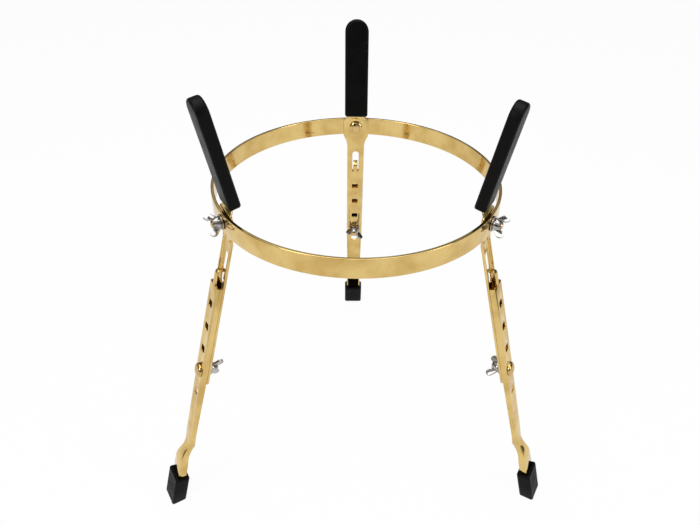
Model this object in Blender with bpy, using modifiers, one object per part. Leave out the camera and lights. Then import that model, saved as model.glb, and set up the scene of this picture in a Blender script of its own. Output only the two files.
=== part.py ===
"""Basket stand for one conga drum: a steel hoop carried by three bolted legs.

Each leg is a pressed strip. Its top end is a padded arm, its middle is a flat plate
bolted inside the hoop, and its bottom end is a channel. A second channel is pinned
to it and ends in a rubber foot. Units are metres, +Z is up, and the origin is on
the floor under the middle of the stand's box. The back leg lies along +Y.
"""

import math

import bmesh
import bpy
import numpy as np
from mathutils import Matrix, Vector

# Hoop
HOOP_OUTER_RADIUS = 0.165
HOOP_GAUGE = 0.0035
HOOP_HEIGHT = 0.023
HOOP_EDGE_CHAMFER = 0.0006
HOOP_SEGMENTS = 72

# Legs around the hoop
LEG_AZIMUTHS = {"back": 90.0, "left": 210.0, "right": 330.0}
LEG_SPLAY = math.radians(15.0)
ARM_FLARE = math.radians(11.0)

# Pressed strip that makes the arm, the plate and the upper leg
STRIP_GAUGE = 0.0020
STRIP_BEND_RADIUS = 0.0080
PLATE_WIDTH = 0.0330
PLATE_BELOW_HOOP = 0.0010
PLATE_SHOULDER = 0.0075
ARM_WIDTH = 0.0220
ARM_LENGTH = 0.1092
ARM_TIP_FLAT = 0.0003325
ARM_JOG = 0.0035
ARM_JOG_RISE = 0.0043
ARM_JOG_RADIUS = 0.0028
JOG_ABOVE_HOOP = 0.0005
BEND_BELOW_HOOP = 0.0145
CHANNEL_WIDTH = 0.0235
CHANNEL_CORNER = 0.0020
UPPER_FLANGE_DEPTH = 0.0040
UPPER_FORMING_LENGTH = 0.0180
STRIP_EDGE = 0.0010

# Holes that pin the two channels together
HOLE_PITCH = 0.0315
HOLES_ABOVE_PIN = 3
HOLES_BELOW_PIN = 1
PIN_BELOW_BEND = 0.1740
UPPER_END_BELOW_PIN = 0.0150
HOLE_ROUNDING = 0.0016

# Lower channel
LOWER_GAUGE = 0.0018
LOWER_CORNER = 0.0015
LOWER_FLANGE_DEPTH = 0.0063
LOWER_TOP_ABOVE_HOLES = 0.0250
WAIST_BELOW_PIN = 0.1220
WAIST_WIDTH = 0.0145
WAIST_DEPTH = 0.0080
TAIL_WIDTH = 0.0222
TAIL_DEPTH = 0.0095
TAIL_OFFSET = 0.0065
TAPER_WIDTH = 0.0212
TAPER_DEPTH = 0.0052
FLARE_LENGTH = 0.0240
CRANK_START = 0.0100
CRANK_END = 0.0180
EAR_ABOVE_WAIST = 0.0110
EAR_SPLAY = math.radians(38.0)

# Hook at the top of the lower channel
HOOK_WIDTH = 0.0060
HOOK_GAUGE = 0.0016
HOOK_RISE = 0.0180
HOOK_LIP = 0.0135
HOOK_ROOT = 0.0030
HOOK_BEND_RADIUS = 0.0026
HOOK_BEHIND_WEB = 0.0006

# Rubber arm sleeve
SLEEVE_WIDTH = 0.0300
SLEEVE_BACK_WALL = 0.0025
SLEEVE_PAD_WALL = 0.0090
SLEEVE_ABOVE_JOG = 0.0014
SLEEVE_ROUNDING = 0.0024
SLEEVE_ARC_STEPS = 12

# Rubber foot
FOOT_WIDTH = 0.0290
FOOT_DEPTH = 0.0178
FOOT_HEIGHT = 0.0400
FOOT_TOP_BELOW_PIN = 0.1670
FOOT_CORNER = 0.0028
FOOT_FLOOR = 0.0090
FOOT_RIBS = 5
FOOT_RIB_DEPTH = 0.0007
SOCKET_CORNER = 0.0005

# Carriage bolts, washers and wing nuts
SCREW_DIAMETER = 0.0078
SCREW_NECK = 0.0080
NECK_LENGTH = 0.0016
HEAD_DIAMETER = 0.0172
HEAD_HEIGHT = 0.0046
HEAD_RIM = 0.0011
SCREW_TIP_PAST_NUT = 0.0012
SCREW_TIP_CHAMFER = 0.0008
SCREW_SEGMENTS = 16
WASHER_DIAMETER = 0.0170
WASHER_GAUGE = 0.0016
NUT_HUB_DIAMETER = 0.0140
NUT_HUB_TOP_DIAMETER = 0.0112
NUT_HUB_HEIGHT = 0.0080
NUT_HEIGHT = 0.0140
NUT_SPAN = 0.0290
NUT_WING_GAUGE = 0.0024
NUT_WING_LIFT = 0.0010
NUT_LOBE_RADIUS = 0.0042
NUT_WING_ROOT_TOP = 0.0068
RING_NUT_TURN = {"back": 20.0, "left": 62.0, "right": 118.0}
LEG_NUT_TURN = {"back": 62.0, "left": 20.0, "right": 75.0}

# Clearances
SEAT_GAP = 0.0003
BORE_CLEARANCE = 0.0003
HOLE_CLEARANCE = 0.0004

# Sizes that follow from the ones above
HOOP_INNER_RADIUS = HOOP_OUTER_RADIUS - HOOP_GAUGE
HOOP_INNER_FLAT = HOOP_INNER_RADIUS * math.cos(math.pi / HOOP_SEGMENTS)
PLATE_OUTER_X = math.sqrt((HOOP_INNER_FLAT - SEAT_GAP) ** 2 - (PLATE_WIDTH / 2) ** 2)
STRIP_X = PLATE_OUTER_X - STRIP_GAUGE / 2
BEND_Z = -HOOP_HEIGHT / 2 - BEND_BELOW_HOOP
PIN_HOLE = SCREW_NECK + 2 * HOLE_CLEARANCE
LEG_DOWN = Vector((math.sin(LEG_SPLAY), 0.0, -math.cos(LEG_SPLAY)))
LEG_OUT = Vector((math.cos(LEG_SPLAY), 0.0, math.sin(LEG_SPLAY)))
PIN_POINT = Vector((STRIP_X, 0.0, BEND_Z)) + LEG_DOWN * PIN_BELOW_BEND
UPPER_TIPS_X = UPPER_FLANGE_DEPTH - STRIP_GAUGE / 2
LOWER_LIPS_X = UPPER_TIPS_X + SEAT_GAP
LOWER_FACE_X = LOWER_LIPS_X + LOWER_FLANGE_DEPTH
FOOT_X = LOWER_FACE_X - TAPER_DEPTH / 2 + TAIL_OFFSET
SOLE_BELOW_PIN = FOOT_TOP_BELOW_PIN + FOOT_HEIGHT
SOLE_POINT = PIN_POINT + LEG_DOWN * SOLE_BELOW_PIN + LEG_OUT * FOOT_X
HOOP_MID_HEIGHT = -SOLE_POINT.z

JOG_FOOT = Vector((STRIP_X, 0.0, HOOP_HEIGHT / 2 + JOG_ABOVE_HOOP))
JOG_HEAD = JOG_FOOT + Vector((-ARM_JOG, 0.0, ARM_JOG_RISE))
ARM_UP = Vector((math.sin(ARM_FLARE), 0.0, math.cos(ARM_FLARE)))
HOLE_HEIGHTS = [step * HOLE_PITCH for step in range(HOLES_ABOVE_PIN + 1)]
LOWER_TOP = HOLE_HEIGHTS[-1] + LOWER_TOP_ABOVE_HOLES
SOCKET_DEPTH = FOOT_HEIGHT - FOOT_FLOOR
RING_BOLT_SEAT = STRIP_X - STRIP_GAUGE / 2 - SEAT_GAP
RING_WASHER_AT = HOOP_OUTER_RADIUS + SEAT_GAP - RING_BOLT_SEAT
LEG_BOLT_SEAT = LOWER_FACE_X + SEAT_GAP
LEG_WASHER_AT = LEG_BOLT_SEAT + STRIP_GAUGE / 2 + SEAT_GAP
WASHER_TO_NUT = WASHER_GAUGE + SEAT_GAP
LEG_FRAME = Matrix.Translation(PIN_POINT) @ Matrix.Rotation(-LEG_SPLAY, 4, "Y")
ARM_FRAME = Matrix.Translation(JOG_HEAD) @ Matrix.Rotation(ARM_FLARE, 4, "Y")

for old in list(bpy.data.objects):
    bpy.data.objects.remove(old, do_unlink=True)
parts = bpy.data.collections.new("conga_stand")
bench = bpy.data.collections.new("cutters")
bpy.context.scene.collection.children.link(parts)
bpy.context.scene.collection.children.link(bench)


def finish_material(name, colour, roughness, metallic):
    material = bpy.data.materials.new(name)
    material.use_nodes = True
    shader = material.node_tree.nodes["Principled BSDF"]
    shader.inputs["Base Color"].default_value = (*colour, 1.0)
    shader.inputs["Roughness"].default_value = roughness
    shader.inputs["Metallic"].default_value = metallic
    return material


def empty_at(name, parent, location, rotation=(0.0, 0.0, 0.0)):
    empty = bpy.data.objects.new(name, None)
    empty.parent = parent
    empty.location = location
    empty.rotation_euler = rotation
    parts.objects.link(empty)
    return empty


def new_part(name, mesh, material, parent=None, location=(0.0, 0.0, 0.0), turn=0.0):
    part = bpy.data.objects.new(name, mesh)
    part.parent = parent
    part.location = location
    part.rotation_euler = (0.0, 0.0, turn)
    mesh.materials.clear()
    mesh.materials.append(material)
    parts.objects.link(part)
    return part


def shade(mesh, angle=35.0):
    mesh.shade_smooth()
    mesh.set_sharp_from_angle(angle=math.radians(angle))


def baked_mesh(source, name):
    """Mesh of an object with its modifiers applied; the object itself is removed."""
    bpy.context.view_layer.update()
    evaluated = source.evaluated_get(bpy.context.evaluated_depsgraph_get())
    mesh = bpy.data.meshes.new_from_object(evaluated)
    mesh.name = name
    bpy.data.objects.remove(source, do_unlink=True)
    return mesh


def on_bench(name, mesh, matrix=Matrix()):
    """Working object for a cut, a join or a modifier; it never stays in the model."""
    piece = bpy.data.objects.new(name, mesh)
    piece.matrix_basis = matrix
    piece.hide_render = True
    piece.display_type = "WIRE"
    bench.objects.link(piece)
    return piece


def carved_mesh(name, mesh, tools):
    """Mesh after each tool (mesh, matrix, operation) has cut it or joined it."""
    body = on_bench(name, mesh)
    placed = []
    for number, (shape, matrix, operation) in enumerate(tools):
        tool = on_bench(f"{name}_tool_{number}", shape, matrix)
        modifier = body.modifiers.new(tool.name, "BOOLEAN")
        modifier.object = tool
        modifier.operation = operation
        modifier.solver = "EXACT"
        placed.append(tool)
    carved = baked_mesh(body, name)
    for tool in placed:
        bpy.data.objects.remove(tool, do_unlink=True)
    shade(carved)
    return carved


def merged_outward(mesh):
    """Merges doubled points and turns every face outwards."""
    solid = bmesh.new()
    solid.from_mesh(mesh)
    bmesh.ops.remove_doubles(solid, verts=solid.verts, dist=1e-6)
    bmesh.ops.recalc_face_normals(solid, faces=solid.faces)
    solid.to_mesh(mesh)
    solid.free()
    return mesh


def outline_mesh(name, splines, half_thickness):
    """Flat outline extruded both ways along Z, from one curve with filled faces.

    splines is a list of points (x, y) of closed polygons.
    """
    curve = bpy.data.curves.new(name, "CURVE")
    curve.dimensions = "2D"
    curve.fill_mode = "BOTH"
    curve.extrude = half_thickness
    for points in splines:
        spline = curve.splines.new("POLY")
        spline.points.add(len(points) - 1)
        for target, (x, y) in zip(spline.points, points):
            target.co = (x, y, 0.0, 1.0)
        spline.use_cyclic_u = True
    return merged_outward(baked_mesh(on_bench(name, curve), name))


def turned_mesh(name, profile, segments, closed=False):
    """Profile (radius, height) turned about Z with a Screw modifier."""
    mesh = bpy.data.meshes.new(name + "_profile")
    count = len(profile)
    edges = [(i, i + 1) for i in range(count - 1)]
    if closed:
        edges.append((count - 1, 0))
    mesh.from_pydata([(r, 0.0, z) for r, z in profile], edges, [])
    holder = on_bench(name, mesh)
    screw = holder.modifiers.new("turn", "SCREW")
    screw.steps = segments
    screw.render_steps = segments
    screw.use_merge_vertices = True
    screw.merge_threshold = 1e-5
    turned = merged_outward(baked_mesh(holder, name))
    shade(turned)
    return turned


def box_mesh(name, size, centre=(0.0, 0.0, 0.0), rounding=0.0, axis="Z", segments=2):
    """Box from a cube primitive, with the edges along one axis rounded."""
    solid = bmesh.new()
    bmesh.ops.create_cube(solid, size=1.0)
    bmesh.ops.scale(solid, vec=size, verts=solid.verts)
    if rounding:
        along = "XYZ".index(axis)
        chosen = []
        for edge in solid.edges:
            run = edge.verts[1].co - edge.verts[0].co
            if abs(run[along]) > 0.5 * size[along]:
                chosen.append(edge)
        bmesh.ops.bevel(solid, geom=chosen, offset=rounding, segments=segments, affect="EDGES", profile=0.5)
    bmesh.ops.translate(solid, vec=centre, verts=solid.verts)
    mesh = bpy.data.meshes.new(name)
    solid.to_mesh(mesh)
    solid.free()
    return mesh


def loft_mesh(name, sections):
    """Closed skin through equal rings of points, with a flat face on each end."""
    rings = np.asarray(sections)
    count, around = rings.shape[:2]
    faces = []
    for i in range(count - 1):
        for j in range(around):
            k = (j + 1) % around
            faces.append((i * around + j, i * around + k, (i + 1) * around + k, (i + 1) * around + j))
    faces.append(tuple(reversed(range(around))))
    faces.append(tuple((count - 1) * around + j for j in range(around)))
    mesh = bpy.data.meshes.new(name)
    mesh.from_pydata(rings.reshape(-1, 3).tolist(), [], faces)
    merged_outward(mesh)
    shade(mesh)
    return mesh


def smooth_step(value, start, end):
    """0 before start, 1 after end, and an S-curve between them."""
    share = min(max((value - start) / (end - start), 0.0), 1.0)
    return share * share * (3.0 - 2.0 * share)


def rounded_path(corners, radii, steps=2):
    """Points and headings along straight runs joined by arcs, in the X-Z plane."""
    path = []
    corners = [Vector(corner) for corner in corners]
    for i, corner in enumerate(corners):
        if i == 0 or i == len(corners) - 1:
            other = corners[1] if i == 0 else corners[-2]
            run = (other - corner if i == 0 else corner - other).normalized()
            path.append((corner, run))
            continue
        into = (corner - corners[i - 1]).normalized()
        out = (corners[i + 1] - corner).normalized()
        turn = into.angle(out)
        setback = radii[i - 1] * math.tan(turn / 2)
        start = corner - into * setback
        normal = (out - into * into.dot(out)).normalized()
        for step in range(steps + 1):
            angle = turn * step / steps
            point = start + into * radii[i - 1] * math.sin(angle)
            point += normal * radii[i - 1] * (1 - math.cos(angle))
            path.append((point, into * math.cos(angle) + normal * math.sin(angle)))
    return path


def channel_section(half_width, flange, fold, gauge, corner):
    """Ring of points (across, out) of a folded strip, its web centred on out = 0.

    fold is the angle of the flanges: 0 leaves the strip flat and pi/2 makes a channel
    half_width is the web's outer half width and flange the length of strip past it.
    """
    middle = half_width - gauge / 2 - corner
    points = [(0.0, 0.0, 0.0)]
    points.append((middle, 0.0, 0.0))
    arc_length = corner * math.pi / 2
    steps = 2
    for step in range(1, steps + 1):
        angle = fold * step / steps
        if fold > 1e-3:
            radius = arc_length / fold
            across = middle + radius * math.sin(angle)
            out = radius * (1 - math.cos(angle))
        else:
            across = middle + arc_length * step / steps
            out = 0.0
        points.append((across, out, angle))
    across, out, angle = points[-1]
    points.append((across + flange * math.cos(fold), out + flange * math.sin(fold), fold))
    half = gauge / 2
    inner = [(a - half * math.sin(t), o + half * math.cos(t)) for a, o, t in points]
    outer = [(a + half * math.sin(t), o - half * math.cos(t)) for a, o, t in points]
    right = outer[1:] + inner[:0:-1]
    left = [(-a, o) for a, o in inner[1:]] + [(-a, o) for a, o in reversed(outer[1:])]
    return [outer[0]] + right + [inner[0]] + left


def sweep_section(point, heading, section, side):
    """Places a section at a point of the path; side is the way its flanges stand."""
    out = Vector((-heading.z, 0.0, heading.x)) * side
    return [point + Vector((0.0, across, 0.0)) + out * height for across, height in section]


def cumulative(path):
    lengths = [0.0]
    for (a, _), (b, _) in zip(path, path[1:]):
        lengths.append(lengths[-1] + (b - a).length)
    return lengths


def resample(path, extra):
    """Adds stations at the given arc lengths of a path."""
    lengths = cumulative(path)
    stations = sorted(set(round(value, 6) for value in lengths + extra))
    result = []
    for value in stations:
        i = max(j for j in range(len(lengths)) if lengths[j] <= value + 1e-9)
        i = min(i, len(lengths) - 2)
        share = (value - lengths[i]) / (lengths[i + 1] - lengths[i])
        point = path[i][0].lerp(path[i + 1][0], share)
        heading = path[i][1].lerp(path[i + 1][1], share).normalized()
        result.append((value, point, heading))
    return result


def strip_half_width(total_width):
    """Web half width that gives a flat strip of a total width, edges included."""
    unrolled = CHANNEL_CORNER * math.pi / 2 + STRIP_EDGE
    return total_width / 2 - unrolled + CHANNEL_CORNER + STRIP_GAUGE / 2


def square_hole(name, depth):
    return box_mesh(name, (depth, PIN_HOLE, PIN_HOLE), rounding=HOLE_ROUNDING, axis="X")


def hoop_mesh():
    """Flat band rolled into a ring, with three round holes for the leg bolts."""
    half = HOOP_HEIGHT / 2
    bevel = HOOP_EDGE_CHAMFER
    band = [
        (HOOP_OUTER_RADIUS, half - bevel),
        (HOOP_OUTER_RADIUS, bevel - half),
        (HOOP_OUTER_RADIUS - bevel, -half),
        (HOOP_INNER_RADIUS + bevel, -half),
        (HOOP_INNER_RADIUS, bevel - half),
        (HOOP_INNER_RADIUS, half - bevel),
        (HOOP_INNER_RADIUS + bevel, half),
        (HOOP_OUTER_RADIUS - bevel, half),
    ]
    ring = turned_mesh("ring_band", band, HOOP_SEGMENTS, closed=True)
    drill = turned_mesh("hoop_drill", drill_profile(), SCREW_SEGMENTS)
    tools = []
    for azimuth in LEG_AZIMUTHS.values():
        aim = Matrix.Rotation(math.radians(azimuth), 4, "Z")
        aim = aim @ Matrix.Translation((HOOP_OUTER_RADIUS, 0.0, 0.0)) @ Matrix.Rotation(math.pi / 2, 4, "Y")
        tools.append((drill, aim, "DIFFERENCE"))
    return carved_mesh("ring", ring, tools)


def drill_profile():
    radius = SCREW_DIAMETER / 2 + HOLE_CLEARANCE
    reach = 3 * HOOP_GAUGE
    return [(0.0, reach), (radius, reach), (radius, -reach), (0.0, -reach)]


def upper_leg_mesh():
    """Strip swept from the arm's round end, past the plate, to the channel's end."""
    round_start = JOG_HEAD + ARM_UP * ARM_LENGTH
    sections = []
    narrowest = CHANNEL_CORNER * math.pi / 2 + STRIP_EDGE + ARM_TIP_FLAT
    last_angle = math.acos(narrowest / (ARM_WIDTH / 2))
    for share in (1.0, 2 / 3, 1 / 3):
        angle = last_angle * share
        point = round_start + ARM_UP * (ARM_WIDTH / 2 * math.sin(angle))
        width = ARM_WIDTH * math.cos(angle)
        ring = channel_section(strip_half_width(width), STRIP_EDGE, 0.0, STRIP_GAUGE, CHANNEL_CORNER)
        sections.append(sweep_section(point, -ARM_UP, ring, 1))
    bend = Vector((STRIP_X, 0.0, BEND_Z))
    end = PIN_POINT + LEG_DOWN * UPPER_END_BELOW_PIN
    corners = [round_start, JOG_HEAD, JOG_FOOT, bend, end]
    path = rounded_path(corners, [ARM_JOG_RADIUS, ARM_JOG_RADIUS, STRIP_BEND_RADIUS])
    to_jog = ARM_LENGTH
    to_plate = to_jog + (JOG_HEAD - JOG_FOOT).length
    to_forming = to_plate + JOG_FOOT.z + HOOP_HEIGHT / 2 + PLATE_BELOW_HOOP
    forming = [to_forming + UPPER_FORMING_LENGTH * share for share in (0.0, 0.2, 0.4, 0.6, 0.8, 1.0)]
    widening = [to_jog - SLEEVE_ABOVE_JOG / 2, to_plate + ARM_JOG_RADIUS]
    for distance, point, heading in resample(path, forming + widening):
        width = strip_half_width(ARM_WIDTH)
        plate = smooth_step(distance, widening[0], widening[1])
        width += (strip_half_width(PLATE_WIDTH) - width) * plate
        formed = smooth_step(distance, forming[0], forming[-1])
        width += (CHANNEL_WIDTH / 2 - width) * smooth_step(distance, forming[0], forming[0] + PLATE_SHOULDER)
        edge = STRIP_EDGE + (UPPER_TIPS_X - CHANNEL_CORNER - STRIP_EDGE) * formed
        ring = channel_section(width, edge, formed * math.pi / 2, STRIP_GAUGE, CHANNEL_CORNER)
        sections.append(sweep_section(point, heading, ring, 1))
    strip = loft_mesh("upper_strip", sections)
    hole = square_hole("strip_hole", 6 * STRIP_GAUGE)
    tools = [(hole, Matrix.Translation((STRIP_X, 0.0, 0.0)), "DIFFERENCE")]
    for height in HOLE_HEIGHTS:
        tools.append((hole, LEG_FRAME @ Matrix.Translation((0.0, 0.0, height)), "DIFFERENCE"))
    slot_size = (6 * STRIP_GAUGE, PIN_HOLE, HOLE_PITCH + PIN_HOLE)
    slot = box_mesh("hook_slot", slot_size, rounding=PIN_HOLE * 0.49, axis="X", segments=4)
    slot_height = HOLE_HEIGHTS[-1] + 1.5 * HOLE_PITCH
    tools.append((slot, LEG_FRAME @ Matrix.Translation((0.0, 0.0, slot_height)), "DIFFERENCE"))
    return carved_mesh("upper_leg", strip, tools)


def lower_leg_mesh():
    """Channel in the leg's frame: it tapers, is pinched and cranked, then flares out.

    The flanges splay into two ears where the web is cranked, just above the waist.
    """
    pinch_start = WAIST_BELOW_PIN - FLARE_LENGTH
    flare_end = WAIST_BELOW_PIN + FLARE_LENGTH
    tail_end = FOOT_TOP_BELOW_PIN + SOCKET_DEPTH - SEAT_GAP
    crank = FOOT_X + TAIL_DEPTH / 2 - LOWER_FACE_X
    ear = WAIST_BELOW_PIN - EAR_ABOVE_WAIST
    stations = [-LOWER_TOP, 0.0]
    stations += list(np.linspace(pinch_start, flare_end, 13))
    stations.append(tail_end)
    sections = []
    for below in stations:
        tapered = min(max(below / pinch_start, 0.0), 1.0)
        pinched = smooth_step(below, pinch_start, WAIST_BELOW_PIN)
        flared = smooth_step(below, WAIST_BELOW_PIN, flare_end)
        width = CHANNEL_WIDTH + (TAPER_WIDTH - CHANNEL_WIDTH) * tapered
        width += (WAIST_WIDTH - width) * pinched
        width += (TAIL_WIDTH - width) * flared
        depth = LOWER_FLANGE_DEPTH + (TAPER_DEPTH - LOWER_FLANGE_DEPTH) * tapered
        depth += (WAIST_DEPTH - depth) * pinched
        depth += (TAIL_DEPTH - depth) * flared
        offset = crank * smooth_step(below, WAIST_BELOW_PIN - CRANK_START, WAIST_BELOW_PIN + CRANK_END)
        flange = depth - LOWER_GAUGE / 2 - LOWER_CORNER
        splay = EAR_SPLAY * smooth_step(below, pinch_start, ear) * (1 - smooth_step(below, ear, WAIST_BELOW_PIN))
        ring = channel_section(width / 2, flange, math.pi / 2 - splay, LOWER_GAUGE, LOWER_CORNER)
        point = Vector((LOWER_FACE_X - LOWER_GAUGE / 2 + offset, 0.0, -below))
        sections.append(sweep_section(point, Vector((0.0, 0.0, -1.0)), ring, -1))
    channel = loft_mesh("lower_channel", sections)
    web = LOWER_FACE_X - LOWER_GAUGE / 2
    hook_top = LOWER_TOP + HOOK_RISE
    behind = -STRIP_GAUGE / 2 - HOOK_BEHIND_WEB - HOOK_GAUGE / 2
    corners = [
        (web, 0.0, LOWER_TOP - HOOK_ROOT),
        (web, 0.0, hook_top),
        (behind, 0.0, hook_top),
        (behind, 0.0, hook_top - HOOK_LIP),
    ]
    half = HOOK_GAUGE / 2
    across = HOOK_WIDTH / 2
    tongue = [(-across, -half), (across, -half), (across, half), (-across, half)]
    curl = []
    for point, heading in rounded_path(corners, [HOOK_BEND_RADIUS] * 2, steps=3):
        curl.append(sweep_section(point, heading, tongue, 1))
    tools = [(loft_mesh("hook", curl), Matrix(), "UNION")]
    hole = square_hole("channel_hole", 3 * LOWER_GAUGE)
    for step in range(-HOLES_BELOW_PIN, HOLES_ABOVE_PIN + 1):
        tools.append((hole, Matrix.Translation((web, 0.0, step * HOLE_PITCH)), "DIFFERENCE"))
    return carved_mesh("lower_leg", channel, tools)


def arm_outline(half_width, start):
    """Strip outline (across, along) from a start line to a round end at the arm's tip."""
    outline = [(half_width, start)]
    for step in range(SLEEVE_ARC_STEPS + 1):
        angle = math.pi * step / SLEEVE_ARC_STEPS
        outline.append((half_width * math.cos(angle), ARM_LENGTH + half_width * math.sin(angle)))
    outline.append((-half_width, start))
    return outline


def sleeve_mesh():
    """Rubber sleeve with a pad towards the drum and a pocket for the arm."""
    wall = STRIP_GAUGE + SLEEVE_BACK_WALL + SLEEVE_PAD_WALL
    upright = Matrix(((0, 0, 1, 0), (1, 0, 0, 0), (0, 1, 0, 0), (0, 0, 0, 1)))
    block = outline_mesh("sleeve_block", [arm_outline(SLEEVE_WIDTH / 2, SLEEVE_ABOVE_JOG)], wall / 2)
    block.transform(Matrix.Translation(((SLEEVE_BACK_WALL - SLEEVE_PAD_WALL) / 2, 0.0, 0.0)) @ upright)
    holder = on_bench("sleeve_holder", block)
    bevel = holder.modifiers.new("rounded_edges", "BEVEL")
    bevel.width = SLEEVE_ROUNDING
    bevel.segments = 2
    bevel.limit_method = "ANGLE"
    bevel.angle_limit = math.radians(50)
    rounded = merged_outward(baked_mesh(holder, "rounded_sleeve"))
    clearance = 1.5 * BORE_CLEARANCE
    pocket_outline = arm_outline(ARM_WIDTH / 2 + clearance, -SLEEVE_WIDTH)
    pocket = outline_mesh("pocket", [pocket_outline], STRIP_GAUGE / 2 + BORE_CLEARANCE)
    pocket.transform(upright)
    sleeve = carved_mesh("arm_sleeve", rounded, [(pocket, Matrix(), "DIFFERENCE")])
    sleeve.transform(ARM_FRAME)
    return sleeve


def foot_outline():
    """Rounded rectangle (out, across) whose outward side carries upright ribs."""
    depth = FOOT_DEPTH / 2
    width = FOOT_WIDTH / 2
    outline = []
    centres = [(-1, 1, 90.0), (-1, -1, 180.0), (1, -1, 270.0)]
    for side_x, side_y, first in centres:
        for step in range(4):
            angle = math.radians(first + 30.0 * step)
            x = side_x * (depth - FOOT_CORNER) + FOOT_CORNER * math.cos(angle)
            y = side_y * (width - FOOT_CORNER) + FOOT_CORNER * math.sin(angle)
            outline.append((x, y))
    rib_pitch = 2 * (width - FOOT_CORNER) / FOOT_RIBS
    for rib in range(FOOT_RIBS):
        low = FOOT_CORNER - width + rib * rib_pitch
        for share, dent in ((0.08, 1.0), (0.24, 0.0), (0.76, 0.0), (0.92, 1.0)):
            outline.append((depth - dent * FOOT_RIB_DEPTH, low + share * rib_pitch))
    for step in range(4):
        angle = math.radians(30.0 * step)
        x = depth - FOOT_CORNER + FOOT_CORNER * math.cos(angle)
        outline.append((x, width - FOOT_CORNER + FOOT_CORNER * math.sin(angle)))
    return outline


def foot_mesh():
    """Boot in the leg's frame: a socket for the tail and a sole flat on the floor."""
    spare = FOOT_DEPTH
    middle = (FOOT_HEIGHT + spare) / 2
    boot = outline_mesh("foot_block", [foot_outline()], middle)
    boot.transform(Matrix.Translation((FOOT_X, 0.0, -FOOT_TOP_BELOW_PIN - middle)))
    clear = 2 * SEAT_GAP
    socket_size = (TAIL_DEPTH + clear, TAIL_WIDTH + clear, 2 * SOCKET_DEPTH)
    socket = box_mesh("socket", socket_size, rounding=SOCKET_CORNER)
    seat = Matrix.Translation((FOOT_X, 0.0, -FOOT_TOP_BELOW_PIN))
    slab = box_mesh("floor_cut", (6 * FOOT_WIDTH, 6 * FOOT_WIDTH, 4 * FOOT_DEPTH))
    below_floor = LEG_FRAME.inverted() @ Matrix.Translation(
        (SOLE_POINT.x, 0.0, -HOOP_MID_HEIGHT - 2 * FOOT_DEPTH)
    )
    tools = [(socket, seat, "DIFFERENCE"), (slab, below_floor, "DIFFERENCE")]
    return carved_mesh("rubber_foot", boot, tools)


def bolt_mesh(name, length):
    """Carriage bolt along +Z: the dome lies below 0 and the square neck above it."""
    radius = SCREW_DIAMETER / 2
    profile = [(0.0, length), (radius - SCREW_TIP_CHAMFER, length), (radius, length - SCREW_TIP_CHAMFER)]
    profile += [(radius, 0.0), (HEAD_DIAMETER / 2, 0.0)]
    dome = HEAD_HEIGHT - HEAD_RIM
    for degrees in (0.0, 32.0, 62.0):
        angle = math.radians(degrees)
        profile.append((HEAD_DIAMETER / 2 * math.cos(angle), -HEAD_RIM - dome * math.sin(angle)))
    profile.append((0.0, -HEAD_HEIGHT))
    turned = turned_mesh(name + "_turned", profile, SCREW_SEGMENTS)
    bite = HEAD_RIM / 2
    size = (SCREW_NECK, SCREW_NECK, NECK_LENGTH + bite)
    corner = HOLE_ROUNDING - HOLE_CLEARANCE
    neck = box_mesh(name + "_neck", size, (0.0, 0.0, (NECK_LENGTH - bite) / 2), rounding=corner)
    return carved_mesh(name, turned, [(neck, Matrix(), "UNION")])


def washer_mesh():
    bore = SCREW_DIAMETER / 2 + BORE_CLEARANCE
    rim = WASHER_DIAMETER / 2
    profile = [(rim, WASHER_GAUGE), (rim, 0.0), (bore, 0.0), (bore, WASHER_GAUGE)]
    return turned_mesh("washer", profile, SCREW_SEGMENTS, closed=True)


def wing_nut_mesh():
    """Tapered hub with a plain bore and two round-lobed wings, its seat at height 0."""
    bore = SCREW_DIAMETER / 2 + BORE_CLEARANCE
    base = NUT_HUB_DIAMETER / 2
    top = NUT_HUB_TOP_DIAMETER / 2
    hub = [(top, NUT_HUB_HEIGHT), (base, NUT_HUB_HEIGHT / 4), (base, 0.0), (bore, 0.0), (bore, NUT_HUB_HEIGHT)]
    nut = turned_mesh("nut_hub", hub, SCREW_SEGMENTS, closed=True)
    root = (bore + top) / 2
    lobe_x = NUT_SPAN / 2 - NUT_LOBE_RADIUS
    lobe_y = NUT_HEIGHT - NUT_LOBE_RADIUS
    outline = [(root, NUT_WING_LIFT), (base, NUT_WING_LIFT)]
    for degrees in (-50.0, -15.0, 15.0, 45.0, 75.0, 105.0, 150.0):
        angle = math.radians(degrees)
        outline.append((lobe_x + NUT_LOBE_RADIUS * math.cos(angle), lobe_y + NUT_LOBE_RADIUS * math.sin(angle)))
    outline.append((root, NUT_WING_ROOT_TOP))
    wing = outline_mesh("nut_wing", [outline], NUT_WING_GAUGE / 2)
    wing.transform(Matrix.Rotation(math.pi / 2, 4, "X"))
    half_turn = Matrix.Rotation(math.pi, 4, "Z")
    return carved_mesh("wing_nut", nut, [(wing, Matrix(), "UNION"), (wing, half_turn, "UNION")])


def box_centre_shift(foot):
    """Y move that brings the middle of the stand's bounding box over the origin."""
    reach = [-HOOP_OUTER_RADIUS, HOOP_OUTER_RADIUS]
    for azimuth in LEG_AZIMUTHS.values():
        place = Matrix.Rotation(math.radians(azimuth), 4, "Z") @ LEG_FRAME
        reach += [(place @ vertex.co).y for vertex in foot.vertices]
    return -(max(reach) + min(reach)) / 2


gold = finish_material("gold_plated_steel", (0.83, 0.60, 0.30), 0.16, 1.0)
bolt_gold = finish_material("gold_plated_bolt", (0.78, 0.58, 0.32), 0.20, 1.0)
silver = finish_material("nickel_plated_nut", (0.70, 0.69, 0.67), 0.24, 1.0)
washer_silver = finish_material("plated_washer", (0.62, 0.60, 0.56), 0.30, 1.0)
rubber = finish_material("black_rubber", (0.018, 0.018, 0.018), 0.55, 0.0)
sleeve_rubber = finish_material("black_sleeve_rubber", (0.020, 0.020, 0.020), 0.50, 0.0)

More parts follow.
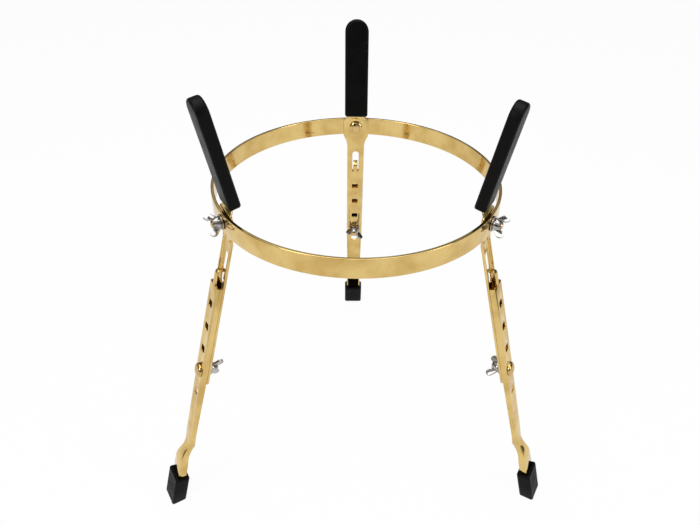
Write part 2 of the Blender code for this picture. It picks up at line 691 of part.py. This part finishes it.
upper_leg = upper_leg_mesh()
lower_leg = lower_leg_mesh()
arm_sleeve = sleeve_mesh()
rubber_foot = foot_mesh()
ring_bolt = bolt_mesh("ring_bolt", RING_WASHER_AT + WASHER_TO_NUT + NUT_HUB_HEIGHT + SCREW_TIP_PAST_NUT)
leg_bolt = bolt_mesh("leg_bolt", LEG_WASHER_AT + WASHER_TO_NUT + NUT_HUB_HEIGHT + SCREW_TIP_PAST_NUT)
washer = washer_mesh()
wing_nut = wing_nut_mesh()

hoop_centre = (0.0, box_centre_shift(rubber_foot), HOOP_MID_HEIGHT)
new_part("ring", hoop_mesh(), gold, location=hoop_centre)
for side, azimuth in LEG_AZIMUTHS.items():
    pivot = empty_at(f"leg_{side}_pivot", None, hoop_centre, (0.0, 0.0, math.radians(azimuth)))
    frame = empty_at(f"leg_{side}_frame", pivot, PIN_POINT, (0.0, -LEG_SPLAY, 0.0))
    new_part(f"upper_leg_{side}", upper_leg, gold, pivot)
    new_part(f"arm_sleeve_{side}", arm_sleeve, sleeve_rubber, pivot)
    new_part(f"lower_leg_{side}", lower_leg, gold, frame)
    new_part(f"rubber_foot_{side}", rubber_foot, rubber, frame)
    ring_axis = empty_at(f"ring_bolt_{side}_axis", pivot, (RING_BOLT_SEAT, 0.0, 0.0), (0.0, math.pi / 2, 0.0))
    leg_axis = empty_at(f"leg_bolt_{side}_axis", frame, (LEG_BOLT_SEAT, 0.0, 0.0), (0.0, -math.pi / 2, 0.0))
    for place, axis, bolt, washer_at, turns in (
        ("ring", ring_axis, ring_bolt, RING_WASHER_AT, RING_NUT_TURN),
        ("leg", leg_axis, leg_bolt, LEG_WASHER_AT, LEG_NUT_TURN),
    ):
        new_part(f"{place}_bolt_{side}", bolt, bolt_gold, axis)
        new_part(f"{place}_washer_{side}", washer, washer_silver, axis, (0.0, 0.0, washer_at))
        nut_at = (0.0, 0.0, washer_at + WASHER_TO_NUT)
        turn = math.radians(turns[side])
        new_part(f"{place}_wing_nut_{side}", wing_nut, silver, axis, nut_at, turn)
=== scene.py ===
import math

import bmesh
import bpy
import numpy as np
from mathutils import Matrix, Vector


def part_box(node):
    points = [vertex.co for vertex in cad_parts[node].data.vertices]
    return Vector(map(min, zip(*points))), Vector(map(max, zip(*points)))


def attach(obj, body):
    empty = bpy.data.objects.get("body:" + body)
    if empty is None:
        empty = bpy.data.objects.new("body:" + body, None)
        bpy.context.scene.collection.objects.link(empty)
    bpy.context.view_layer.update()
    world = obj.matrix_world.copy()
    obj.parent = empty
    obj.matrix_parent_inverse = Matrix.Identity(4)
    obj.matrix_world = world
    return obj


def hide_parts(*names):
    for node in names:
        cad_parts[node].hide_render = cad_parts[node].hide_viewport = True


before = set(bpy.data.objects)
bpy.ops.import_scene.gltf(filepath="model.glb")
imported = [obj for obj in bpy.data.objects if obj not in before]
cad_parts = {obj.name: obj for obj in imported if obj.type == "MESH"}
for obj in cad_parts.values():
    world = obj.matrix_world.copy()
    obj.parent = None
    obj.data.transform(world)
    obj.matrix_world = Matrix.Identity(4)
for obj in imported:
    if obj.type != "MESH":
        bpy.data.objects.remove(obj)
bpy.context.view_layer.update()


# Ring: a flat steel band rolled to a circle, welded, ground flush and polished, with
# its long edges broken. It is plated in bright gold, which shows slow waves and faint
# brown smudges.
class Value:
    """One number or colour in a node tree. A sum or product of it adds a Math node."""

    def __init__(self, work, socket):
        self.work = work
        self.socket = socket

    def combined(self, operation, first, second):
        """This value with another, by an operation of the Math node."""
        return self.work.node("ShaderNodeMath", {"operation": operation}, {0: first, 1: second})

    def __add__(self, other):
        return self.combined("ADD", self, other)

    def __radd__(self, other):
        return self.combined("ADD", other, self)

    def __mul__(self, other):
        return self.combined("MULTIPLY", self, other)

    def __rmul__(self, other):
        return self.combined("MULTIPLY", other, self)

    def above(self, level, softness):
        """0 below the level and 1 above it, with a soft edge."""
        settings = {"interpolation_type": "SMOOTHSTEP"}
        inputs = {"Value": self, "From Min": level - softness, "From Max": level + softness}
        return self.work.node("ShaderNodeMapRange", settings, inputs, "Result")


class NodeWork:
    """Node tree whose nodes are all made by one method and fed with numbers or Values."""

    def __init__(self, tree):
        self.tree = tree

    def node(self, kind, settings, inputs, output=0):
        """Node of a kind, set first and then fed. Gives the Value at one of its outputs."""
        made = self.tree.nodes.new(kind)
        for key, value in settings.items():
            if key == "stops":
                set_stops(made.color_ramp.elements, value)
            else:
                setattr(made, key, value)
        for key, value in inputs.items():
            self.feed(made.inputs[key], value)
        return Value(self, made.outputs[output])

    def feed(self, socket, value):
        """Links a Value to a socket, or writes a number there."""
        if isinstance(value, Value):
            self.tree.links.new(value.socket, socket)
        else:
            socket.default_value = value

    def mixed(self, share, low, high):
        """Colour between low and high by a share."""
        low = (*low, 1.0) if isinstance(low, tuple) else low
        high = (*high, 1.0) if isinstance(high, tuple) else high
        return self.node("ShaderNodeMix", {"data_type": "RGBA"}, {0: share, 6: low, 7: high}, 2)


def set_stops(elements, stops):
    """Gives a colour ramp its stops, each a position and a grey level."""
    while len(elements) < len(stops):
        elements.new(0.5)
    for element, (position, grey) in zip(elements, stops):
        element.position = position
        element.color = (grey, grey, grey, 1.0)


class Finish(NodeWork):
    """A surface finish: one Principled shader whose inputs take numbers or Values."""

    def __init__(self, name, **settings):
        self.material = bpy.data.materials.new(name)
        self.material.use_nodes = True
        super().__init__(self.material.node_tree)
        self.shader = self.tree.nodes["Principled BSDF"]
        for socket, value in settings.items():
            self.feed(self.shader.inputs[socket.replace("_", " ")], value)

    def noise(self, scale, detail):
        """Noise from 0 to 1 through the piece, with so many swings in a metre."""
        place = self.node("ShaderNodeTexCoord", {}, {}, "Object")
        inputs = {"Vector": place, "Scale": scale, "Detail": detail}
        return self.node("ShaderNodeTexNoise", {}, inputs, "Fac")

    def colour(self, value):
        self.feed(self.shader.inputs["Base Color"], value)

    def roughness(self, value):
        self.feed(self.shader.inputs["Roughness"], value)

    def relief(self, height, depth, strength):
        """Tilts the surface's normal by a height of a given depth in metres."""
        inputs = {"Height": height, "Distance": depth, "Strength": strength}
        self.feed(self.shader.inputs["Normal"], self.node("ShaderNodeBump", {}, inputs))


def plated_finish(name, bright, deep, polish):
    """Plating over drawn steel: smudges from bright to deep, hazy patches, waves and grain."""
    finish = Finish(name, Metallic=1.0)
    smudge = finish.noise(scale=38.0, detail=4.0).above(0.52, softness=0.2)
    haze = finish.noise(scale=90.0, detail=3.0).above(0.58, softness=0.16)
    grain = finish.noise(scale=900.0, detail=2.0)
    wave = finish.noise(scale=26.0, detail=1.0)
    haze_roughness = 0.07
    grain_roughness = 0.03
    grain_height = 0.012
    finish.colour(finish.mixed(smudge, bright, deep))
    finish.roughness(polish + haze_roughness * haze + grain_roughness * grain)
    finish.relief(wave + grain_height * grain, depth=0.0009, strength=0.5)
    return finish.material


def surface(name, rows, caps=True, sharp=38.0):
    """Mesh over a grid of points (row, around, xyz).

    Each row is a closed loop, and a face joins each pair of neighbours on a row with
    the pair on the next. Caps close the first and the last row.
    """
    grid = np.asarray(rows, dtype=float)
    count, around = grid.shape[:2]
    row, turn = np.meshgrid(np.arange(count - 1), np.arange(around), indexing="ij")
    here = row * around
    above = here + around
    after = (turn + 1) % around
    corners = (here + turn, here + after, above + after, above + turn)
    faces = np.stack(corners, axis=-1).reshape(-1, 4).tolist()
    if caps:
        faces.append(list(range(around))[::-1])
        faces.append(list(range((count - 1) * around, count * around)))
    mesh = bpy.data.meshes.new(name)
    mesh.from_pydata(grid.reshape(-1, 3).tolist(), [], faces)
    return faced_outward(mesh, sharp)


def faced_outward(mesh, sharp):
    """Merges doubled points, turns the faces outward and keeps edges past an angle sharp."""
    solid = bmesh.new()
    solid.from_mesh(mesh)
    bmesh.ops.remove_doubles(solid, verts=solid.verts, dist=1e-7)
    bmesh.ops.recalc_face_normals(solid, faces=solid.faces)
    solid.to_mesh(mesh)
    solid.free()
    mesh.shade_smooth()
    mesh.set_sharp_from_angle(angle=math.radians(sharp))
    return mesh


def placed(name, mesh, place, material, body, node):
    """Piece with its place in its mesh, riding on a body for the CAD node it replaces."""
    shape = mesh.copy()
    shape.name = name
    shape.transform(place)
    piece = bpy.data.objects.new(name, shape)
    bpy.context.scene.collection.objects.link(piece)
    shape.materials.append(material)
    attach(piece, body)
    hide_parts(node)


def rounded_rectangle(low, high, rounding, steps):
    """Closed loop between two corners: a quarter circle of points about each corner's centre."""
    left, bottom = np.array(low) + rounding
    right, top = np.array(high) - rounding
    centres = np.array(((right, top), (left, top), (left, bottom), (right, bottom)))
    quarters = np.arange(4)[:, None] * math.pi / 2
    angles = quarters + np.linspace(0.0, math.pi / 2, steps)
    arcs = rounding * np.stack((np.cos(angles), np.sin(angles)), axis=-1)
    return (centres[:, None, :] + arcs).reshape(-1, 2)


def turned(profile, segments):
    """Profile (radius, height), closed or from pole to pole, carried once around Z."""
    angles = np.linspace(0.0, 2 * math.pi, segments, endpoint=False)
    radius = profile[:, 0][:, None]
    height = np.repeat(profile[:, 1][:, None], segments, axis=1)
    return np.stack((radius * np.cos(angles), radius * np.sin(angles), height), axis=-1)


def turned_band(name, low, high, rounding, steps, segments):
    """Mesh of a rounded rectangle (radius, height) turned around Z."""
    loop = rounded_rectangle(low, high, rounding, steps)
    closed = np.vstack((loop, loop[:1]))
    return surface(name, turned(closed, segments), caps=False)


ring_low, ring_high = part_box("ring")
ring_centre = (ring_low + ring_high) / 2
ring_half = (ring_high.z - ring_low.z) / 2
ring_outer = 0.165
ring_inner = 0.1615
ring_edge = 0.0006
gold = plated_finish("gold_plating", (0.76, 0.55, 0.215), (0.60, 0.40, 0.13), polish=0.06)
ring_low_corner = (ring_inner, -ring_half)
ring_high_corner = (ring_outer, ring_half)
ring_mesh = turned_band("ring_band", ring_low_corner, ring_high_corner, ring_edge, steps=5, segments=288)
ring_place = Matrix.Translation(ring_centre)
placed("ring_band", ring_mesh, ring_place, gold, "ring", "ring")


# Legs: each upper leg is one pressed strip and each lower leg one folded channel, in
# plated steel. The CAD solids have their true shape, so they stay, with their cut edges
# slightly broken. Three equal legs stand around the ring's centre.
leg_azimuths = {"back": 90.0, "left": 210.0, "right": 330.0}
cut_edge = 0.00035


def broken_edges(node, width, material):
    """Adds a fine edge round and smooth shading to a CAD node, and its finish."""
    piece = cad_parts[node]
    weld = piece.modifiers.new("weld", "WELD")
    weld.merge_threshold = 1e-6
    flat = piece.modifiers.new("flat_faces", "DECIMATE")
    flat.decimate_type = "DISSOLVE"
    flat.angle_limit = math.radians(0.4)
    bevel = piece.modifiers.new("broken_edges", "BEVEL")
    bevel.width = width
    bevel.segments = 2
    bevel.limit_method = "ANGLE"
    bevel.angle_limit = math.radians(40)
    bevel.harden_normals = True
    piece.data.shade_smooth()
    piece.data.materials.clear()
    piece.data.materials.append(material)


for side in leg_azimuths:
    broken_edges(f"upper_leg_{side}", cut_edge, gold)
    broken_edges(f"lower_leg_{side}", cut_edge, gold)


# Arm sleeves: moulded black rubber with a thick pad on the drum's side, pushed over
# the strip's top end. Its edges are well rounded and its skin is satin and faintly worn.
def rubber_finish(name, tone, satin):
    """Satin rubber: near black, with bloom in patches and a fine moulded skin."""
    finish = Finish(name, Specular_IOR_Level=0.10)
    bloom = finish.noise(scale=60.0, detail=4.0).above(0.55, softness=0.2)
    skin = finish.noise(scale=1500.0, detail=3.0)
    dimple = finish.noise(scale=240.0, detail=2.0)
    bloom_roughness = 0.10
    skin_roughness = 0.06
    dimple_height = 0.5
    bloomed = (tone * 1.5, tone * 1.5, tone * 1.55)
    finish.colour(finish.mixed(bloom, (tone, tone, tone), bloomed))
    finish.roughness(satin + bloom_roughness * bloom + skin_roughness * skin)
    finish.relief(skin + dimple_height * dimple, depth=0.00012, strength=0.6)
    return finish.material


def inward_normals(loop):
    """Unit normals of a closed loop, square to the line between each point's neighbours."""
    ahead = np.roll(loop, -1, axis=0) - np.roll(loop, 1, axis=0)
    normal = np.stack((-ahead[:, 1], ahead[:, 0]), axis=1)
    return normal / np.linalg.norm(normal, axis=1)[:, None]


def sleeve_loop(half_width, start, centre, corner):
    """Closed loop (across, along): two quarter-round bottom corners and a half-round tip."""
    quarter = np.linspace(0.0, math.pi / 2, 6)
    rise = corner * np.sin(quarter)
    run = corner * np.cos(quarter)
    side = half_width - corner
    base = start + corner
    tip = np.linspace(0.0, math.pi, 36)
    low_left = np.stack((-side - run, base - rise), axis=1)
    low_right = np.stack((side + rise, base - run), axis=1)
    top = np.stack((half_width * np.cos(tip), centre + half_width * np.sin(tip)), axis=1)
    return np.vstack((low_left, low_right, top))


def rounded_slab(loop, low, high, rounding, steps):
    """Rows of a slab (depth, loop) from low to high, drawn in along quarter circles."""
    quarter = np.linspace(0.0, math.pi / 2, steps)
    angles = np.concatenate((quarter - math.pi / 2, quarter))
    centres = np.repeat((low + rounding, high - rounding), steps)
    insets = rounding * (1 - np.cos(angles))
    flat = loop + insets[:, None, None] * inward_normals(loop)
    depth = np.repeat((centres + rounding * np.sin(angles))[:, None], len(loop), axis=1)
    return np.concatenate((depth[:, :, None], flat), axis=2)


# Each leg's pieces are made in that leg's own plane, x outward from the ring's centre
# and z up from the ring's middle height, and then turned to its azimuth.
leg_places = {
    side: ring_place @ Matrix.Rotation(math.radians(azimuth), 4, "Z")
    for side, azimuth in leg_azimuths.items()
}
seat_gap = 0.0003
strip_gauge = 0.0020
plate_width = 0.0330
ring_flats = 72
ring_inner_flat = ring_inner * math.cos(math.pi / ring_flats)
plate_face = math.sqrt((ring_inner_flat - seat_gap) ** 2 - (plate_width / 2) ** 2)
strip_middle = plate_face - strip_gauge / 2
arm_length = 0.1092
arm_flare = math.radians(11.0)
arm_jog = 0.0035
jog_rise = 0.0043
jog_above_ring = 0.0005
jog_head = Vector((strip_middle - arm_jog, 0.0, ring_half + jog_above_ring + jog_rise))
arm_place = Matrix.Translation(jog_head) @ Matrix.Rotation(arm_flare, 4, "Y")
sleeve_rubber = rubber_finish("sleeve_rubber_skin", tone=0.0012, satin=0.36)
sleeve_width = 0.0300
sleeve_back_wall = 0.0025
sleeve_pad_wall = 0.0090
sleeve_start = 0.0014
sleeve_corner = 0.0034
sleeve_rounding = 0.0030
sleeve_outline = sleeve_loop(sleeve_width / 2, sleeve_start, arm_length, sleeve_corner)
pad_face = -strip_gauge / 2 - sleeve_pad_wall
back_face = strip_gauge / 2 + sleeve_back_wall
sleeve_rows = rounded_slab(sleeve_outline, pad_face, back_face, sleeve_rounding, steps=7)
sleeve_mesh = surface("sleeve", sleeve_rows, sharp=60.0)
for side, leg_place in leg_places.items():
    place = leg_place @ arm_place
    name = f"sleeve_{side}"
    placed(name, sleeve_mesh, place, sleeve_rubber, f"leg_{side}", f"arm_sleeve_{side}")


# Rubber feet: moulded boots over the flared tails, ribbed on the outward face, with an
# open rim and a sole that stands flat on the floor.
leg_splay = math.radians(15.0)
bend_below_ring = 0.0145
pin_below_bend = 0.1740
bend_point = Vector((strip_middle, 0.0, -ring_half - bend_below_ring))
pin_point = bend_point + Vector((math.sin(leg_splay), 0.0, -math.cos(leg_splay))) * pin_below_bend
pin_height = pin_point.z + ring_centre.z
leg_frame = Matrix.Translation(pin_point) @ Matrix.Rotation(-leg_splay, 4, "Y")
upper_flange = 0.0040
lower_flange = 0.0063
lower_face = upper_flange - strip_gauge / 2 + seat_gap + lower_flange
tail_depth = 0.0052
tail_offset = 0.0065
foot_middle = lower_face - tail_depth / 2 + tail_offset
foot_width = 0.0290
foot_depth = 0.0178
foot_height = 0.0400
foot_top = 0.1670
foot_corner = 0.0028
foot_ribs = 5
rib_points = 60
rib_dent = 0.0007
rib_land = 0.55
rib_flank = 0.30
rib_run_in = 0.0008
ribs_level = 0.0200
rim_height = 0.0045
rim_rounding = ((0.93, 0.0), (0.975, 0.0003), (1.0, 0.0010), (1.0, rim_height))
socket_size = (0.0094, 0.0228)
socket_depth = 0.0060
socket_edge = 0.0004
socket_flare = 0.03
sole_edge = 0.0010
sole_share = 0.96


def ribbed_side(dent):
    """Outward side (out, across): flat lands with a dent of sloping flanks between ribs."""
    reach = foot_width / 2 - foot_corner
    across = np.linspace(-reach, reach, rib_points + 2)[1:-1]
    phase = (across + reach) / (2 * reach) * foot_ribs
    off_middle = np.abs(phase % 1.0 - 0.5) * 2
    drop = dent * np.clip((off_middle - rib_land) / rib_flank, 0.0, 1.0)
    return np.stack((foot_depth / 2 - drop, across), axis=1)


def foot_row(flat, below):
    """Loop (out, across) laid square to the leg, at a distance below the pin."""
    return np.column_stack((foot_middle + flat[:, 0], flat[:, 1], np.full(len(flat), -below)))


def floor_row(flat, lift):
    """Loop (out, across) with each point lowered along the leg to a height above the floor."""
    out = foot_middle + flat[:, 0]
    below = (pin_height + math.sin(leg_splay) * out - lift) / math.cos(leg_splay)
    return np.column_stack((out, flat[:, 1], -below))


foot_half = (foot_depth / 2, foot_width / 2)
foot_corners = rounded_rectangle(np.negative(foot_half), foot_half, foot_corner, steps=6)
smooth_loop = np.vstack((foot_corners, ribbed_side(0.0)))
ribbed_loop = np.vstack((foot_corners, ribbed_side(rib_dent)))
socket_scale = np.array(socket_size) / np.array((foot_depth, foot_width))
foot_rows = [
    foot_row(smooth_loop * socket_scale, foot_top + socket_depth),
    foot_row(smooth_loop * socket_scale, foot_top + socket_edge),
    foot_row(smooth_loop * (socket_scale + socket_flare), foot_top),
    *(foot_row(smooth_loop * share, foot_top + below) for share, below in rim_rounding),
    foot_row(ribbed_loop, foot_top + rim_height + rib_run_in),
    foot_row(ribbed_loop, foot_top + ribs_level),
    floor_row(ribbed_loop, sole_edge),
    floor_row(ribbed_loop * sole_share, 0.0),
]
foot_mesh = surface("foot", foot_rows, sharp=45.0)
foot_rubber = rubber_finish("foot_rubber_skin", tone=0.0012, satin=0.38)
for side, leg_place in leg_places.items():
    place = leg_place @ leg_frame
    name = f"foot_{side}"
    placed(name, foot_mesh, place, foot_rubber, f"lower_leg_{side}", f"rubber_foot_{side}")


# Fasteners: plated carriage bolts with low domed heads, pressed zinc washers, and
# die-cast wing nuts in bright nickel, which are the CAD solids with their edges broken.
head_radius = 0.0086
head_height = 0.0046
head_rim = 0.0011
head_break = 0.0002
shank_radius = 0.0039
tip_chamfer = 0.0008
washer_inner = 0.0042
washer_outer = 0.0085
washer_gauge = 0.0016
washer_edge = 0.0003
nut_hub = 0.0080
nut_edge = 0.0005
tip_past_nut = 0.0012


def bolt_profile(length):
    """Pole-to-pole outline (radius, height): elliptic dome, rim, shank and chamfered tip."""
    sweep = np.linspace(math.pi / 2, 0.0, 14)
    dome = (head_height - head_rim) * np.sin(sweep)
    cap = np.stack((head_radius * np.cos(sweep), -head_rim - dome), axis=1)
    cap[0, 0] = 0.0
    under_head = ((head_radius, -head_break), (head_radius - head_break, 0.0), (shank_radius, 0.0))
    tip = ((shank_radius, length - tip_chamfer), (shank_radius - tip_chamfer, length), (0.0, length))
    return np.vstack((cap, under_head, tip))


bolt_gold = plated_finish("bolt_plating_gold", (0.70, 0.50, 0.22), (0.54, 0.36, 0.13), polish=0.07)
nickel = plated_finish("nickel_plating", (0.50, 0.48, 0.46), (0.36, 0.34, 0.32), polish=0.14)
zinc = plated_finish("washer_plating_zinc", (0.46, 0.42, 0.36), (0.34, 0.30, 0.25), polish=0.18)
ring_seat = strip_middle - strip_gauge / 2 - seat_gap
ring_washer_at = ring_outer + seat_gap - ring_seat
leg_seat = lower_face + seat_gap
leg_washer_at = leg_seat + strip_gauge / 2 + seat_gap
nut_stack = washer_gauge + seat_gap + nut_hub + tip_past_nut
turn_segments = 48
washer_corners = ((washer_inner, 0.0), (washer_outer, washer_gauge))
washer_mesh = turned_band("washer", *washer_corners, washer_edge, steps=3, segments=turn_segments)
outward = Matrix.Rotation(math.pi / 2, 4, "Y")
inward = Matrix.Rotation(-math.pi / 2, 4, "Y")


def fastened(kind, side, axis, washer_at, holder):
    """Bolt along an axis with its holder, and the washer and wing nut of one leg's joint."""
    profile = bolt_profile(washer_at + nut_stack)
    bolt_mesh = surface(f"{kind}_bolt", turned(profile, turn_segments), caps=False)
    bolt_name = f"{kind}_carriage_bolt_{side}"
    placed(bolt_name, bolt_mesh, axis, bolt_gold, holder, f"{kind}_bolt_{side}")
    place = axis @ Matrix.Translation((0.0, 0.0, washer_at))
    name = f"{kind}_plain_washer_{side}"
    node = f"{kind}_washer_{side}"
    placed(name, washer_mesh, place, zinc, f"leg_{side}", node)
    broken_edges(f"{kind}_wing_nut_{side}", nut_edge, nickel)


for side, leg_place in leg_places.items():
    ring_axis = leg_place @ Matrix.Translation((ring_seat, 0.0, 0.0)) @ outward
    leg_axis = leg_place @ leg_frame @ Matrix.Translation((leg_seat, 0.0, 0.0)) @ inward
    fastened("ring", side, ring_axis, ring_washer_at, f"leg_{side}")
    fastened("leg", side, leg_axis, leg_washer_at, f"lower_leg_{side}")


# Studio: a pale floor that the camera sees as white, three soft lamps, and a surround
# that is white to the camera and cloudy light and dark to the metal.
paper = Finish("white_paper", Base_Color=(0.86, 0.86, 0.86, 1.0), Roughness=0.9)
seen = paper.node("ShaderNodeLightPath", {}, {}, "Is Camera Ray")
mirrored = paper.node("ShaderNodeLightPath", {}, {}, "Is Glossy Ray")
white = {"Color": (1.0, 1.0, 1.0, 1.0), "Strength": 1.0}
matt = Value(paper, paper.shader.outputs[0])
glow = paper.node("ShaderNodeEmission", {}, white)
white_to_camera = 0.95
white_in_metal = 0.45
whitened = white_to_camera * seen + white_in_metal * mirrored
floor_surface = paper.node("ShaderNodeMixShader", {}, {0: whitened, 1: matt, 2: glow})
paper.feed(paper.tree.nodes["Material Output"].inputs["Surface"], floor_surface)
reach = 6.0
floor_mesh = bpy.data.meshes.new("floor")
floor_corners = [(-reach, -reach, 0), (reach, -reach, 0), (reach, reach, 0), (-reach, reach, 0)]
floor_mesh.from_pydata(floor_corners, [], [(0, 1, 2, 3)])
floor_mesh.materials.append(paper.material)
floor = bpy.data.objects.new("floor", floor_mesh)
bpy.context.scene.collection.objects.link(floor)

world = bpy.context.scene.world or bpy.data.worlds.new("surround")
bpy.context.scene.world = world
world.use_nodes = True
surround = NodeWork(world.node_tree)
direction = surround.node("ShaderNodeTexCoord", {}, {}, "Generated")
height = surround.node("ShaderNodeSeparateXYZ", {}, {0: direction}, "Z")
sky_levels = ((0.0, 0.80), (0.06, 0.70), (0.14, 0.22), (0.40, 0.10), (0.56, 0.55), (1.0, 0.85))
level = surround.node("ShaderNodeValToRGB", {"stops": sky_levels}, {"Fac": height}, "Color")
cloud_inputs = {"Vector": direction, "Scale": 2.3, "Detail": 1.0}
cloud = surround.node("ShaderNodeTexNoise", {}, cloud_inputs, "Fac")
patch_inputs = {"Value": cloud, "From Min": 0.42, "From Max": 0.56, "To Min": 0.12, "To Max": 1.15}
patches = surround.node("ShaderNodeMapRange", {}, patch_inputs, "Result")
cloudy = surround.node("ShaderNodeVectorMath", {"operation": "SCALE"}, {0: level, "Scale": patches})
straight = surround.node("ShaderNodeLightPath", {}, {}, "Is Camera Ray")
background = surround.tree.nodes["Background"]
surround.feed(background.inputs["Color"], surround.mixed(straight, cloudy, (1.0, 1.0, 1.0)))
surround.feed(background.inputs["Strength"], 1.0)


def softbox(name, place, aim, size, power):
    """Rectangular lamp at a place that faces a point."""
    lamp = bpy.data.lights.new(name, "AREA")
    lamp.shape = "RECTANGLE"
    lamp.size, lamp.size_y = size
    lamp.energy = power
    holder = bpy.data.objects.new(name, lamp)
    holder.location = place
    holder.rotation_euler = (Vector(aim) - Vector(place)).to_track_quat("-Z", "Y").to_euler()
    bpy.context.scene.collection.objects.link(holder)


softbox("overhead", place=(0.0, 0.0, 2.2), aim=(0.0, 0.0, 0.2), size=(1.6, 1.6), power=22.0)
softbox("key", place=(-1.5, -1.4, 1.5), aim=(0.0, 0.0, 0.3), size=(0.7, 1.2), power=16.0)
softbox("fill", place=(1.7, -1.0, 1.1), aim=(0.0, 0.0, 0.3), size=(0.6, 1.2), power=10.0)

# Camera: from the fit of the ring, legs, holes and feet to the photo, around the middle
# of the ring's top edge.
elevation = math.radians(34.64)
distance = 0.8024
aside = 0.0218
lift = -0.0982
roll = math.radians(1.94)
yaw = math.radians(2.97)
focal_pixels = 649.3
frame_width = 700
shift_right = 24.0
shift_down = 16.1
forward = Vector((0.0, math.cos(elevation), -math.sin(elevation)))
sideways = Vector((1.0, 0.0, 0.0))
upward = sideways.cross(forward)
right = sideways * math.cos(roll) + upward * math.sin(roll)
top = upward * math.cos(roll) - sideways * math.sin(roll)
axes = Matrix((right, top, -forward)).transposed().to_4x4()
stand_point = Vector((aside, -distance * math.cos(elevation), lift + distance * math.sin(elevation)))
lens = bpy.data.cameras.new("camera")
lens.sensor_width = 36.0
lens.lens = focal_pixels / frame_width * lens.sensor_width
lens.shift_x = -shift_right / frame_width
lens.shift_y = -shift_down / frame_width
camera = bpy.data.objects.new("camera", lens)
ring_top = Matrix.Translation((ring_centre.x, ring_centre.y, ring_high.z))
camera.matrix_world = ring_top @ Matrix.Rotation(-yaw, 4, "Z") @ Matrix.Translation(stand_point) @ axes
bpy.context.scene.collection.objects.link(camera)
bpy.context.scene.camera = camera
bpy.context.scene.view_settings.view_transform = "Standard"


def corners(bounds):
    """Lowest and highest corner of a box as plain lists of numbers."""
    return [[float(value) for value in corner] for corner in bounds]
